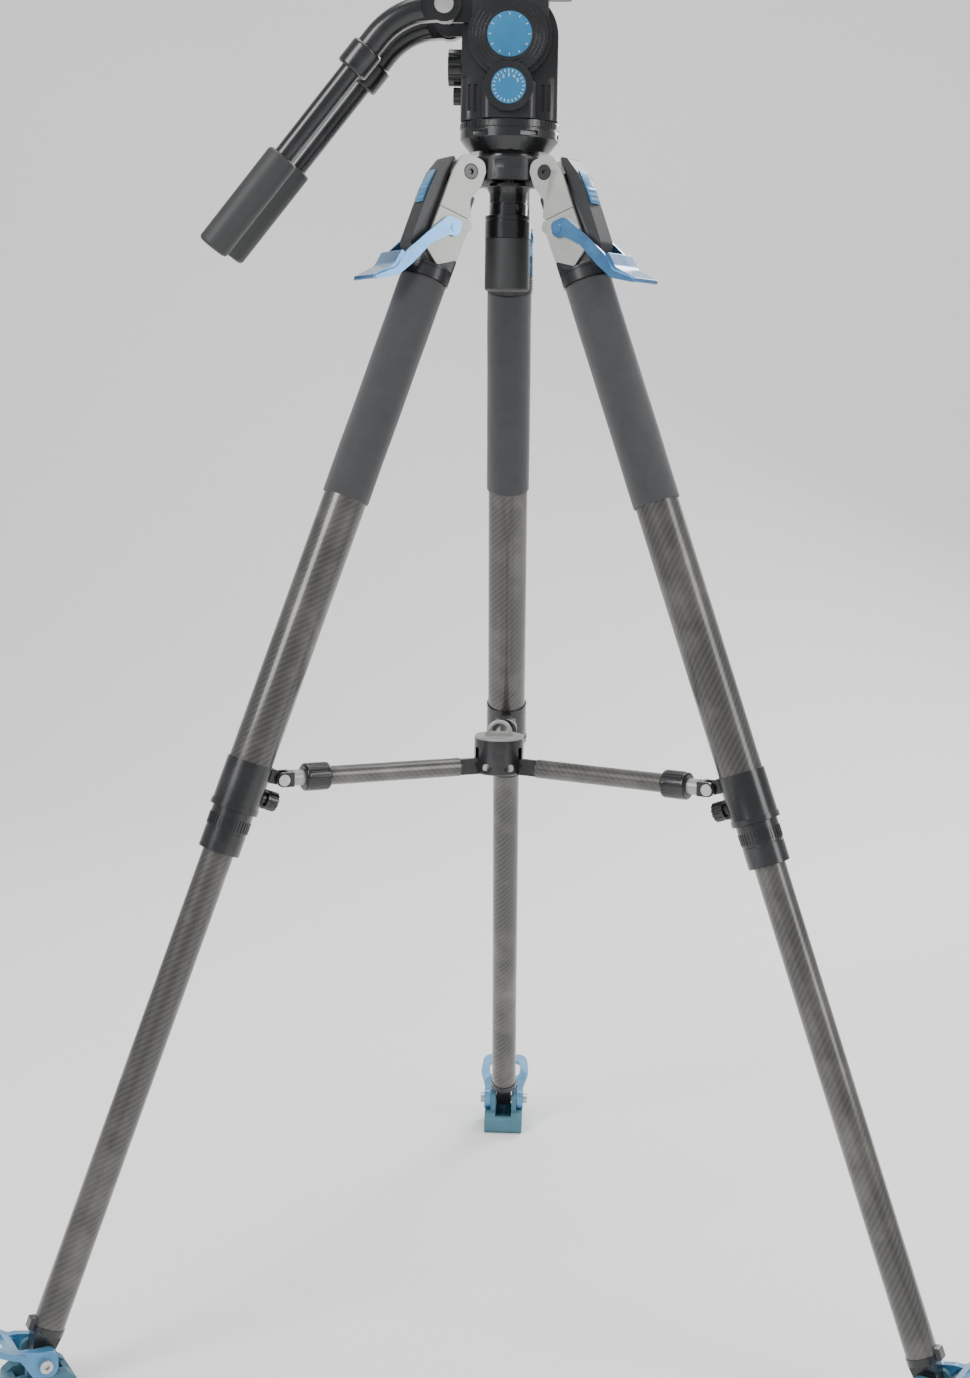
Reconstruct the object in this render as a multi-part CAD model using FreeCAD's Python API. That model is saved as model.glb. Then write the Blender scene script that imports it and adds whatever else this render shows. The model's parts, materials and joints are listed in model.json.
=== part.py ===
import FreeCAD, Part
import math
import os
from FreeCAD import Vector

os.makedirs("parts", exist_ok=True)

# A carbon video tripod with a fluid head. Millimetres, +Z up, the floor is z = 0 and the pan
# axis is the Z axis. The camera would look along +X, and the operator stands at -X.

# driving sizes of the tripod
leanDeg = 21.0            # lean of each leg from the vertical
pivotR = 51.5             # radius of the leg hinge
pivotZ = 1137.0           # height of the leg hinge
legNames = {"left": 210.0, "right": 330.0, "rear": 90.0}
fit = 0.06                # radial running fit of pins in bores
gap = 0.3                 # open gap beside a moving or a soft piece

# leg tubes: outer radius, wall, and where they start and end along the leg
upperR, midR, lowerR = 21.0, 18.0, 15.0
tubeWall = 1.5
upperTop, collarTop, collarEnd = 97.5, 599.0, 646.5
midTop, midEnd = 240.0, 688.0
lowerTop, lowerEnd = 560.0, 1151.0
foamR, foamTop, foamEnd = 23.0, 110.5, 334.0
collarR, ringR, midCollarR = 22.5, 23.4, 20.0
bushLong, tubeEnd = 15.0, 641.0
collarKnobR, knobPinR, bossR, knobDrop = 9.5, 2.5, 6.5, 23.0

# leg top: side plates, crown, lock lever, angle tab
plateOut, plateThick = 20.0, 3.5
plateR = 15.0             # round top of the side plates about the hinge
seamS = 43.0              # seam between upper and lower plate
boltR, boltHeadR = 5.0, 7.0
leverO, leverS = -3.0, 56.5
leverEyeR, leverThick = 8.0, 3.0
leverPinR = 3.0
spineHalf = 12.0
socketR, spigotLong = 24.0, 30.0
tabHalf, tabTop, tabEnd = 8.0, 10.0, 44.0
spineOut = 31.5

# bowl and ball
rimZ, bowlOutR, bowlR = pivotZ + 15.5, 39.0, 37.5
castingZ, floorLow, floorHigh, floorHole = pivotZ - 6.0, pivotZ - 4.0, pivotZ - 0.3, 16.0
ballR, linerR, plugR = 37.35, 30.15, 30.0
lugHalf, lugR = 16.0, 13.0

# tie-down
studR = 5.0
flangeZ, flangeR, flangeThick = pivotZ - 8.0, 24.5, 3.0
neckR, neckEnd = 18.5, pivotZ - 38.0
knobR, knobEnd = 22.5, pivotZ - 60.0
gripR, gripEnd, coreR = 22.0, pivotZ - 110.0, 14.0

# head
baseLow, coneTop, baseTop, baseR = rimZ + 6.0, rimZ + 18.0, rimZ + 34.3, 48.0
spindleR, spindleTop = 12.0, rimZ + 50.5
bodyHalfX, bodyHalfY = 47.0, 33.0
bodyLow, shoulderZ = rimZ + 34.5, rimZ + 75.5
tiltZ, drumR = rimZ + 111.5, 46.0
cheekR, cheekIn, cheekOut = 40.0, 34.0, 44.0
deckLow, deckHigh, deckHalf = tiltZ + 47.8, tiltZ + 56.0, 58.0
shaftR, stubR = 10.0, 6.0
dialR, dialOut, capR = 35.7, 50.0, 21.2
counterR, counterOut = 33.0, 52.0
panDialZ, panDialR, panDialIn, panDialOut, panCapR = rimZ + 62.5, 23.2, 51.0, 59.0, 16.5
bossHalf, bossOut, bossTop = 26.0, 50.2, rimZ + 68.5
lockZ, lockR, lockOut = rimZ + 87.5, 17.5, 60.0
panLockZ, panLockR, panLockOut = rimZ + 60.5, 8.5, 55.0
plateHalfX, plateLowY, plateHighY = 60.0, 26.0, 22.0
plateLow, plateNeck, plateHigh = deckHigh + gap, deckHigh + 8.0, deckHigh + 12.0
railOut, railTop = 40.0, deckHigh + 7.6
screwBigR, screwSmallR = 4.76, 3.175
screwBigX, screwSmallX, screwProud = -10.0, 15.0, 6.0
plateKnobX, plateKnobZ, plateKnobR = 20.0, deckHigh + 4.0, 8.0

# pan bars
rosetteX, rosetteZ, rosetteR, barY = -62.0, tiltZ + 26.0, 16.0, 47.0
armHalf, armR, armBoltR = 6.7, 12.5, 3.0
armEndX, armEndZ = -142.0, tiltZ - 24.0
armStartDeg, barDeg = 10.0, 51.7
armTangent = 28.0
clampR, clampLong = 16.0, 27.0
barR, barWall, barInside, barLong = 10.0, 1.6, 30.0, 216.0
barGripR, barGripFrom, barGripTo = 16.0, 116.0, 227.0

# spreader
hubPivotR, hubPivotZ = 21.0, pivotZ - 581.0
hubR, hubLow, hubHigh = 25.0, hubPivotZ - 8.0, hubPivotZ + 27.0
lugPivotR, lugPivotZ = 236.0, hubPivotZ + 3.0
tongueHalf, tongueTall, tongueTip, slotRoof = 3.0, 8.0, 4.5, 19.0
hubPinR, lugPinR = 2.5, 2.5
armTubeR, armTubeWall = 9.25, 1.4
plugEnd, ferruleTo = 34.0, 26.0
twistR, twistFrom, twistTo = 13.5, 166.0, 192.0
rodR, rodFrom = 7.7, 47.0
forkHalf, forkInner, forkFrom, forkWeb, forkTipR = 9.0, 5.2, 204.0, 4.5, 7.0
lugTipR = 5.0

# feet
shoePivotS = 1179.3
soleHalfX, soleHalfY, cheekHalfY, slotHalf = 30.0, 23.5, 16.2, 10.0
soleDown = pivotZ - shoePivotS * math.cos(math.radians(leanDeg))
soleStep, soleUp = -12.0, 11.0
frameIn, frameOut = 16.5, 24.6
bladeHalf, eyeR, shoePinR, shoeBoltR, shoeBoltOut = 9.0, 9.0, 4.0, 6.0, 29.5
loopDeg, loopFrom, loopTo, loopHalf, loopThick = 27.0, 20.0, 73.0, 30.5, 6.0
spikeR, spikeTip = 4.0, 1207.0

O = Vector(0, 0, 0)
X, Y, Z = Vector(1, 0, 0), Vector(0, 1, 0), Vector(0, 0, 1)


def rod(radius, low, high, along=Z, at=O):
    """A cylinder from low to high along a direction through a point."""
    return Part.makeCylinder(radius, high - low, at + along * low, along)


def pipe(outer, inner, low, high, along=Z, at=O):
    return rod(outer, low, high, along, at).cut(rod(inner, low - 1, high + 1, along, at))


def cone(r1, r2, low, high, along=Z, at=O):
    return Part.makeCone(r1, r2, high - low, at + along * low, along)


def block(x1, x2, y1, y2, z1, z2):
    return Part.makeBox(x2 - x1, y2 - y1, z2 - z1, Vector(x1, y1, z1))


def outline(corners, place):
    """A closed wire through (a, b, radius) corners, each rounded to its radius."""
    points = [place(a, b) for a, b, _ in corners]
    starts, ends, middles = [], [], []
    for i, (_, _, radius) in enumerate(corners):
        p, before, after = points[i], points[i - 1], points[(i + 1) % len(points)]
        u, v = (before - p).normalize(), (after - p).normalize()
        half = u.getAngle(v) / 2
        back = radius / math.tan(half)
        bisector = (u + v).normalize()
        centre = p + bisector * (radius / math.sin(half))
        starts.append(p + u * back)
        ends.append(p + v * back)
        middles.append(centre - bisector * radius)
    edges = []
    for i, (_, _, radius) in enumerate(corners):
        if radius > 0:
            edges.append(Part.Arc(starts[i], middles[i], ends[i]).toShape())
        nextStart = starts[(i + 1) % len(corners)]
        if (ends[i] - nextStart).Length > 1e-6:
            edges.append(Part.makeLine(ends[i], nextStart))
    return Part.Wire(edges)


def slab(corners, low, high, plane="xz"):
    """An outline thickened along the plane's normal from low to high."""
    if plane == "xz":
        return Part.Face(outline(corners, lambda a, b: Vector(a, low, b))).extrude(Y * (high - low))
    return Part.Face(outline(corners, lambda a, b: Vector(a, b, low))).extrude(Z * (high - low))


def legSlab(corners, low, high):
    """A slab whose outline is given as (outward, down the leg, radius)."""
    return slab([(o, -s, r) for o, s, r in corners], low, high)


def mirrored(shape):
    return shape.mirror(O, Y)


def turned(shape, axis, degrees, at=O):
    shape = shape.copy()
    shape.rotate(at, axis, degrees)
    return shape


def moved(shape, vector):
    shape = shape.copy()
    shape.translate(vector)
    return shape


def fuse(first, *others):
    return first.fuse(list(others)).removeSplitter()


def solidsOf(shape):
    return shape.Solids


def save(name, *shapes):
    solids = [s for shape in shapes for s in solidsOf(shape)]
    shape = solids[0] if len(solids) == 1 else Part.makeCompound(solids)
    shape.exportStep(f"parts/{name}.step")


def onLeg(shape, azimuth):
    """From the leg's own frame (hinge at the origin, leg down -Z, outward +X) to its place."""
    shape = turned(shape, Y, -leanDeg)
    shape.translate(Vector(pivotR, 0, pivotZ))
    shape.rotate(O, Z, azimuth)
    return shape


def legRod(radius, fromS, toS):
    return rod(radius, -toS, -fromS)


def legPipe(outer, inner, fromS, toS):
    return pipe(outer, inner, -toS, -fromS)


# --- leg top ---------------------------------------------------------------------------------

def sidePlates():
    inner = plateOut - plateThick
    upper = legSlab([(-10, -plateR, 9), (14, -plateR, 12), (18, 6, 10), (18, seamS - 0.2, 0),
                     (-17, seamS - 0.2, 3), (-9, 25, 8), (-plateR, 8, 6), (-plateR, -6, 6)],
                    inner, plateOut)
    lower = legSlab([(-17, seamS + 0.2, 3), (18, seamS + 0.2, 0), (18.6, 84, 4), (1, 96, 3),
                     (-17, 84, 4), (-17.5, 56, 5), (-21, 50, 4)], inner, plateOut)
    sides = []
    for plate in (upper, lower):
        plate = plate.cut(rod(boltR + fit, -30, 30, Y))
        plate = plate.cut(rod(boltHeadR + 0.4, plateOut - 1.8, plateOut + 1, Y))
        plate = plate.cut(rod(leverPinR + fit, -30, 30, Y, Vector(leverO, 0, -leverS)))
        sides += [plate, mirrored(plate)]
    return sides


def crown():
    spine = legSlab([(15, -11, 2), (24, -5, 6), (30, 12, 14), (spineOut, 30, 20),
                     (spineOut, 84, 8), (24, 97, 4), (17.4, 97, 1), (17.4, -4, 3)],
                    -spineHalf, spineHalf)
    core = legSlab([(-14.5, 20, 3), (17.6, 20, 3), (17.6, 90, 3), (-14.5, 90, 5)],
                   -(plateOut - plateThick), plateOut - plateThick)
    socket = legRod(socketR, 84, 110)
    for side in (1, -1):
        flat = block(-40, 40, plateOut - plateThick, 40, -96.6, -80)
        socket = socket.cut(flat if side > 0 else mirrored(flat))
    body = fuse(spine, core, socket).cut(legRod(upperR, upperTop, 111))
    body = fuse(body, legRod(upperR - tubeWall, upperTop - 1, upperTop + spigotLong))
    body = body.cut(rod(leverPinR + fit, -30, 30, Y, Vector(leverO, 0, -leverS)))
    body = body.cut(legSlab([(27, tabTop - 0.4, 1), (40, tabTop - 0.4, 0), (40, tabEnd + 0.4, 0),
                             (27, tabEnd + 0.4, 1)], -tabHalf - 0.3, tabHalf + 0.3))
    groove = legPipe(socketR + 1, socketR - 0.8, 99, 100.5)
    return body.cut(groove)


def angleTab():
    tab = legSlab([(27.2, tabTop, 0.5), (30.4, tabTop, 1.5), (33.4, 30, 6), (33.6, tabEnd, 1),
                   (27.2, tabEnd, 0.5)], -tabHalf, tabHalf)
    for i in range(6):
        s = tabTop + 7 + 5 * i
        tab = tab.cut(rod(1.0, -tabHalf - 1, tabHalf + 1, Y, Vector(33.4, 0, -s)))
    return tab


def lockLever():
    low, high = plateOut + gap, plateOut + gap + leverThick
    arm = legSlab([(leverO - 5, leverS - leverEyeR, 5), (8, leverS - leverEyeR, 8), (23, 73, 12),
                   (36, 97, 14), (40, 116, 10), (57, 131, 1), (57, 135, 1), (36, 122, 12),
                   (26, 105, 12), (15, 80, 14), (0, leverS + leverEyeR, 8),
                   (leverO - 7, leverS + leverEyeR, 6)], low, high)
    paddle = legSlab([(37, 99, 1.2), (41, 98, 1.2), (43.5, 114, 10), (59, 131, 1), (58, 135.5, 1),
                      (38.5, 119, 12)], -high + 0.4, high - 0.4)
    pin = rod(leverPinR, -high, high, Y, Vector(leverO, 0, -leverS))
    head = rod(4.6, high, high + 0.8, Y, Vector(leverO, 0, -leverS))
    return fuse(arm, mirrored(arm), paddle, pin, head, mirrored(head))


# --- leg tubes -------------------------------------------------------------------------------

def lugPlace():
    """The spreader lug's pivot in the leg's frame, as outward and down-the-leg distances."""
    lean = math.radians(leanDeg)
    out, up = lugPivotR - pivotR, lugPivotZ - pivotZ
    return (out * math.cos(lean) + up * math.sin(lean), out * math.sin(lean) - up * math.cos(lean))


def upperSection():
    o, s = lugPlace()
    tube = legPipe(upperR, upperR - tubeWall, upperTop, tubeEnd)
    sleeve = fuse(legPipe(collarR, upperR, collarTop, tubeEnd),
                  legPipe(ringR, midR + 0.1, tubeEnd, collarEnd))
    lug = legSlab([(-upperR, s - 7.5, 0), (-upperR, s + 7.5, 0), (o - lugTipR, s + 5, 4.5),
                   (o - lugTipR, s - 5, 4.5)], 0.5 - forkInner, forkInner - 0.5)
    boss = rod(bossR, upperR, collarR + 3.5, X * -1, Vector(0, 0, -(s + knobDrop)))
    body = fuse(sleeve, fuse(lug, boss).cut(legRod(upperR + 0.5, collarTop - 20, collarEnd)))
    body = body.cut(rod(lugPinR, -40, 40, Y, Vector(o, 0, -s)))
    body = body.cut(rod(knobPinR + fit, upperR + 0.3, 60, X * -1, Vector(0, 0, -(s + knobDrop))))
    pin = rod(lugPinR, -forkHalf - 2, forkHalf + 2, Y, Vector(o, 0, -s))
    head = rod(5.6, forkHalf + 0.3, forkHalf + 2, Y, Vector(o, 0, -s))
    return tube, body, fuse(pin, head, mirrored(head))


def collarKnob():
    s = lugPlace()[1] + knobDrop
    at = Vector(0, 0, -s)
    knob = fuse(rod(collarKnobR, collarR + 3.8, collarR + 15, X * -1, at),
                rod(knobPinR, upperR + 0.6, collarR + 5, X * -1, at))
    for i in range(12):
        a = math.radians(30 * i)
        notch = Vector(0, (collarKnobR + 0.4) * math.cos(a), (collarKnobR + 0.4) * math.sin(a) - s)
        knob = knob.cut(rod(1.3, collarR + 6, collarR + 16, X * -1, notch))
    return knob


def middleSection():
    tube = legPipe(midR, midR - tubeWall, midTop, collarEnd + 20)
    bush = legPipe(upperR - tubeWall - 0.08, midR, midTop, midTop + bushLong)
    collar = legRod(midCollarR, collarEnd + gap, midEnd).cut(legRod(midR, collarEnd - 1, collarEnd + 20))
    collar = collar.cut(legRod(lowerR + 0.08, collarEnd, midEnd + 1))
    collar = collar.cut(legPipe(midCollarR + 1, midCollarR - 0.6, 667, 668.2))
    return tube, bush, collar


def lowerSection():
    tube = legPipe(lowerR, lowerR - tubeWall, lowerTop, lowerEnd)
    bush = legPipe(midR - tubeWall - 0.08, lowerR, lowerTop, lowerTop + bushLong)
    plug = legRod(lowerR - tubeWall, lowerEnd - 22, lowerEnd)
    cap = legRod(lowerR + 0.8, lowerEnd, lowerEnd + 7)
    blade = legSlab([(-13, lowerEnd + 6, 0), (13, lowerEnd + 6, 0), (eyeR, shoePivotS + 4, 6),
                     (3, shoePivotS + eyeR, 3), (-3, shoePivotS + eyeR, 3),
                     (-eyeR, shoePivotS + 4, 6)], -bladeHalf, bladeHalf)
    spike = cone(spikeR, 0.6, shoePivotS + eyeR, spikeTip, Z * -1)
    tab = legSlab([(14, lowerEnd - 6, 1), (20, lowerEnd - 4, 1), (20, lowerEnd + 6, 1),
                   (14, lowerEnd + 6.9, 1)], -5, 5).cut(legRod(lowerR, lowerEnd - 10, lowerEnd))
    end = fuse(plug, cap, blade, tab).cut(rod(shoePinR + fit, -30, 30, Y, Vector(0, 0, -shoePivotS)))
    return tube, bush, end, spike


# --- shoe, in its own frame: the pivot at the origin, outward +X, up +Z -----------------------

def shoe():
    sole = slab([(-soleHalfX, -soleDown, 5), (soleHalfX, -soleDown, 5), (soleHalfX, soleStep - 6, 6),
                 (soleHalfX - 8, soleStep, 3), (-soleHalfX + 8, soleStep, 3),
                 (-soleHalfX, soleStep - 6, 6)], -soleHalfY, soleHalfY)
    cheeks = slab([(-16, soleStep - 3, 0), (16, soleStep - 3, 0), (13, soleUp, 8), (-13, soleUp, 8)],
                  -cheekHalfY, cheekHalfY)
    sole = fuse(sole, cheeks).cut(block(-22, 22, -slotHalf, slotHalf, -soleDown + 6, 20))
    sole = sole.cut(block(-40, 40, -slotHalf, slotHalf, soleStep - 4, 20))
    sole = sole.cut(rod(shoePinR, -40, 40, Y))
    for i in range(5):
        groove = block(-22 + 11 * i - 1.5, -22 + 11 * i + 1.5, -40, 40, -soleDown - 1, -soleDown + 1.6)
        sole = sole.cut(groove)
    a = math.radians(loopDeg)
    ux, uz = math.cos(a), math.sin(a)
    arm = slab([(-12, -12, 8), (10, -12, 8), (20, 4, 8), ((loopFrom + 14) * ux, (loopFrom + 14) * uz, 2),
                (loopFrom * ux - 7 * uz, loopFrom * uz + 7 * ux, 6), (4, 13, 8), (-12, 13, 9)],
               frameIn, frameOut)
    loop = slab([(loopFrom, -frameOut, 4), (loopFrom + 22, -loopHalf, 18), (loopTo, -loopHalf + 3, 12),
                 (loopTo, loopHalf - 3, 12), (loopFrom + 22, loopHalf, 18), (loopFrom, frameOut, 4)],
                -loopThick / 2, loopThick / 2, "xy")
    window = slab([(loopFrom + 16, -18, 5), (loopTo - 11, -20.5, 8), (loopTo - 11, 20.5, 8),
                   (loopFrom + 16, 18, 5)], -loopThick, loopThick, "xy")
    notch = slab([(loopFrom - 9, -frameIn, 0), (loopFrom + 6, -frameIn + 3, 4),
                  (loopFrom + 6, frameIn - 3, 4), (loopFrom - 9, frameIn, 0)],
                 -loopThick, loopThick, "xy")
    loop = turned(loop.cut(window).cut(notch), Y, -loopDeg)
    frame = fuse(arm, mirrored(arm), loop).cut(rod(shoePinR, -40, 40, Y))
    bolt = fuse(rod(shoePinR, -frameOut, frameOut, Y), rod(shoeBoltR, frameOut, shoeBoltOut, Y),
                rod(shoeBoltR, frameOut, shoeBoltOut, Y * -1))
    socket = rod(2.6, shoeBoltOut - 2.4, shoeBoltOut + 1, Y)
    bolt = bolt.cut(socket).cut(mirrored(socket))
    return sole, frame, bolt


def onFoot(shape, azimuth):
    lean = math.radians(leanDeg)
    place = Vector(pivotR + shoePivotS * math.sin(lean), 0, pivotZ - shoePivotS * math.cos(lean))
    return turned(moved(shape, place), Z, azimuth)


for name, azimuth in legNames.items():
    save(f"leg_{name}_crown", onLeg(crown(), azimuth))
    save(f"leg_{name}_side_plates", *[onLeg(p, azimuth) for p in sidePlates()])
    save(f"leg_{name}_angle_tab", onLeg(angleTab(), azimuth))
    save(f"leg_{name}_lock_lever", onLeg(lockLever(), azimuth))
    save(f"leg_{name}_upper_section", *[onLeg(p, azimuth) for p in upperSection()])
    save(f"leg_{name}_foam_grip", onLeg(legPipe(foamR, upperR + gap, foamTop, foamEnd), azimuth))
    save(f"leg_{name}_collar_knob", onLeg(collarKnob(), azimuth))
    save(f"leg_{name}_middle_section", *[onLeg(p, azimuth) for p in middleSection()])
    save(f"leg_{name}_lower_section", *[onLeg(p, azimuth) for p in lowerSection()])
    save(f"leg_{name}_shoe", *[onFoot(p, azimuth) for p in shoe()])


# --- spreader --------------------------------------------------------------------------------

armSlope = math.degrees(math.atan2(lugPivotZ - hubPivotZ, lugPivotR - hubPivotR))
armLong = math.hypot(lugPivotZ - hubPivotZ, lugPivotR - hubPivotR)


def hub():
    body = rod(hubR, hubLow, hubHigh)
    body = body.makeFillet(2.0, [e for e in body.Edges if abs(e.BoundBox.ZMax - hubLow) < 0.01])
    pins = []
    at = Vector(hubPivotR, 0, hubPivotZ)
    for azimuth in legNames.values():
        slot = block(0, hubR + 5, -tongueHalf - gap, tongueHalf + gap, hubLow - 5, hubPivotZ + slotRoof)
        body = body.cut(turned(slot, Z, azimuth))
        for side in (Y, Y * -1):
            screw = fuse(rod(hubPinR, tongueHalf + gap, 11, side, at), rod(3.6, 10.5, 12.5, side, at))
            room = fuse(rod(hubPinR, 0, 11, side, at), rod(3.7, 10.5, 30, side, at))
            body = body.cut(turned(room, Z, azimuth))
            pins.append(turned(screw, Z, azimuth))
    plate = rod(hubR - 0.5, hubHigh, hubHigh + 2.5)
    ring = Part.makeTorus(11, 2, Vector(0, 0, hubHigh + 5), Y)
    ring = ring.cut(block(-20, 20, -10, 10, hubHigh - 20, hubHigh + 2.5))
    foot = block(-14, 14, -3.5, 3.5, hubHigh + 2.5, hubHigh + 5.5)
    return [body, fuse(plate, ring, foot)] + pins


def spreaderArm():
    """Along +X from the hub pivot."""
    tongue = slab([(-tongueTip, -tongueTall, 4), (ferruleTo, -tongueTall, 0),
                   (ferruleTo, tongueTall, 0), (-tongueTip, tongueTall, 4)], -tongueHalf, tongueHalf)
    tongue = tongue.cut(rod(hubPinR + fit, -10, 10, Y))
    ferrule = fuse(tongue, rod(armTubeR, ferruleTo - 1, ferruleTo, X),
                   rod(armTubeR - armTubeWall, ferruleTo - 1, plugEnd, X))
    tube = pipe(armTubeR, armTubeR - armTubeWall, ferruleTo, twistTo - 3.3, X)
    return ferrule, tube


def twistRing():
    twist = pipe(twistR, armTubeR + fit, twistFrom, twistTo - 3, X)
    twist = fuse(twist, pipe(twistR, rodR + 0.08, twistTo - 3, twistTo, X))
    twist = twist.makeFillet(2.5, [e for e in twist.Edges
                                   if abs(e.BoundBox.ZLength - 2 * twistR) < 0.01
                                   and e.BoundBox.XLength < 0.01])
    for i in range(24):
        a = math.radians(15 * i)
        at = Vector(0, (twistR + 0.3) * math.cos(a), (twistR + 0.3) * math.sin(a))
        twist = twist.cut(rod(0.8, twistFrom + 4, twistTo - 4, X, at))
    return twist


def spreaderSlider():
    fork = block(forkFrom, armLong, -forkHalf, forkHalf, -forkTipR, forkTipR)
    fork = fuse(fork, rod(forkTipR, -forkHalf, forkHalf, Y, Vector(armLong, 0, 0)))
    fork = fork.cut(block(forkFrom + forkWeb, armLong + 20, -forkInner, forkInner, -20, 20))
    fork = fork.cut(rod(lugPinR + fit, -20, 20, Y, Vector(armLong, 0, 0)))
    return fork, rod(rodR, rodFrom, forkFrom, X)


def onArm(shape, azimuth):
    shape = turned(shape, Y, -armSlope)
    shape.translate(Vector(hubPivotR, 0, hubPivotZ))
    shape.rotate(O, Z, azimuth)
    return shape


save("spreader_hub", *hub())
for name, azimuth in legNames.items():
    save(f"spreader_arm_{name}", *[onArm(p, azimuth) for p in spreaderArm()])
    save(f"spreader_slider_{name}", *[onArm(p, azimuth) for p in spreaderSlider()])
    save(f"spreader_ring_{name}", onArm(twistRing(), azimuth))


# --- bowl, ball and tie-down -----------------------------------------------------------------

def apexCasting():
    body = rod(bowlOutR, castingZ, rimZ)
    lugs = []
    for azimuth in legNames.values():
        arm = slab([(bowlOutR - 10, pivotZ - lugR, 2), (pivotR, pivotZ - lugR, 0),
                    (pivotR + lugR, pivotZ, 0), (pivotR, pivotZ + lugR, 0),
                    (bowlOutR - 10, pivotZ + lugR, 2)], -lugHalf, lugHalf)
        arm = arm.common(fuse(rod(lugR, -lugHalf, lugHalf, Y, Vector(pivotR, 0, pivotZ)),
                              block(0, pivotR, -lugHalf, lugHalf, castingZ - 9, rimZ)))
        lugs.append(turned(arm, Z, azimuth))
    body = fuse(body, *lugs)
    bowl = Part.makeSphere(bowlR, Vector(0, 0, rimZ)).common(rod(60, floorHigh + 1.3, rimZ + 60))
    pocketR = math.sqrt(bowlR**2 - (rimZ - floorHigh - 1.3) ** 2)
    body = body.cut(bowl).cut(rod(pocketR, floorHigh, floorHigh + 1.4)).cut(rod(floorHole, 1100, 1200))
    body = body.cut(rod(flangeR + 5, castingZ - 20, floorLow))
    for azimuth in legNames.values():
        for turn in (-36, -12, 12, 36):
            window = block(bowlOutR - 0.7, bowlOutR + 5, -4.5, 4.5, rimZ - 10.5, rimZ - 2.5)
            body = body.cut(turned(window, Z, azimuth + 60 + turn))
        pivot = rod(boltR, -40, 40, Y, Vector(pivotR, 0, pivotZ))
        body = body.cut(turned(pivot, Z, azimuth))
    return body


def pivotBolt():
    at = Vector(pivotR, 0, pivotZ)
    shank = rod(boltR, -plateOut + 1.6, plateOut - 1.6, Y, at)
    head = rod(boltHeadR, plateOut - 1.6, plateOut - 0.3, Y, at)
    socket = rod(2.5, plateOut - 2.6, plateOut + 1, Y, at)
    return fuse(shank, head, mirrored(head)).cut(socket).cut(mirrored(socket))


save("apex_casting", apexCasting())
save("leg_pivot_bolts", *[turned(pivotBolt(), Z, azimuth) for azimuth in legNames.values()])

centre = Vector(0, 0, rimZ)
ballZone = rod(60, rimZ - 10.5, rimZ + 1)
ball = Part.makeSphere(ballR, centre).common(ballZone).cut(Part.makeSphere(linerR, centre))
save("half_ball", ball)


def turntableBase():
    plug = Part.makeSphere(plugR, centre).common(rod(60, rimZ - 10, baseLow + 1))
    body = fuse(plug, cone(38, baseR, baseLow, coneTop), rod(baseR, coneTop, baseTop),
                rod(spindleR, baseTop - 1, spindleTop))
    body = body.cut(pipe(baseR + 2, baseR - 1.2, 1178.5, 1180))
    for turn in range(0, 360, 60):
        pocket = block(baseR - 2.5, baseR + 5, -13, 5, 1171.5, 1176)
        body = body.cut(turned(pocket, Z, turn))
    return body


stud = rod(studR, 1050, rimZ - 10)
save("turntable_base", turntableBase(), stud)

handle = fuse(rod(flangeR, flangeZ - flangeThick, flangeZ), cone(neckR, flangeR - 3, flangeZ - 9, flangeZ - flangeThick),
              rod(neckR, neckEnd, flangeZ - 8), rod(knobR, knobEnd, neckEnd), rod(coreR, gripEnd + 6, knobEnd))
handle = handle.cut(rod(studR + fit, 1049, 1200))
handle = handle.cut(pipe(neckR + 2, neckR - 0.7, 1110, 1111.4)).cut(pipe(knobR + 2, knobR - 0.7, 1094, 1095.2))
grip = rod(gripR, gripEnd, knobEnd - gap).cut(rod(coreR + gap, gripEnd + 5.5, knobEnd + 1))
grip = grip.makeFillet(2.5, [e for e in grip.Edges if abs(e.BoundBox.ZMax - gripEnd) < 0.01])
save("tie_down_handle", handle, grip)


# --- pan body --------------------------------------------------------------------------------

def panBody():
    corner = 12
    hx, hy = bodyHalfX, bodyHalfY
    lower = slab([(-hx, -hy, corner), (hx, -hy, corner), (hx, hy, corner), (-hx, hy, corner)],
                 bodyLow, shoulderZ, "xy")
    upper = block(-drumR, drumR, -hy, hy, shoulderZ - 1, tiltZ)
    drum = rod(drumR, -hy, hy, Y, Vector(0, 0, tiltZ))
    boss = slab([(-bossHalf, -bossOut, 8), (bossHalf, -bossOut, 8), (bossHalf, -hy + 5, 0),
                 (-bossHalf, -hy + 5, 0)], bodyLow, bossTop, "xy")
    body = fuse(lower, upper, drum, boss)
    for x in (-38, -32, 32, 38):
        body = body.cut(block(x - 1.6, x + 1.6, -hy - 1, -hy + 2.2, bodyLow + 8, shoulderZ - 8))
        body = body.cut(block(x - 1.6, x + 1.6, hy - 2.2, hy + 1, bodyLow + 8, shoulderZ - 8))
    for side in (-1, 1):
        for y in (-18, -10, 10, 18):
            x1, x2 = sorted((side * (hx - 2), side * (hx + 1)))
            body = body.cut(block(x1, x2, y - 1.8, y + 1.8, bodyLow + 6, shoulderZ - 6))
    body = body.cut(rod(shaftR + fit, -60, 60, Y, Vector(0, 0, tiltZ)))
    body = body.cut(rod(spindleR + fit, bodyLow - 1, spindleTop + 0.5))
    body = body.cut(rod(8 + fit, bossOut - 14, bossOut + 2, Y * -1, Vector(0, 0, panDialZ)))
    body = body.cut(rod(4 + fit, 30, 60, X * -1, Vector(0, 0, lockZ)))
    body = body.cut(rod(3 + fit, 34, 60, X * -1, Vector(0, 0, panLockZ)))
    return body


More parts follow.
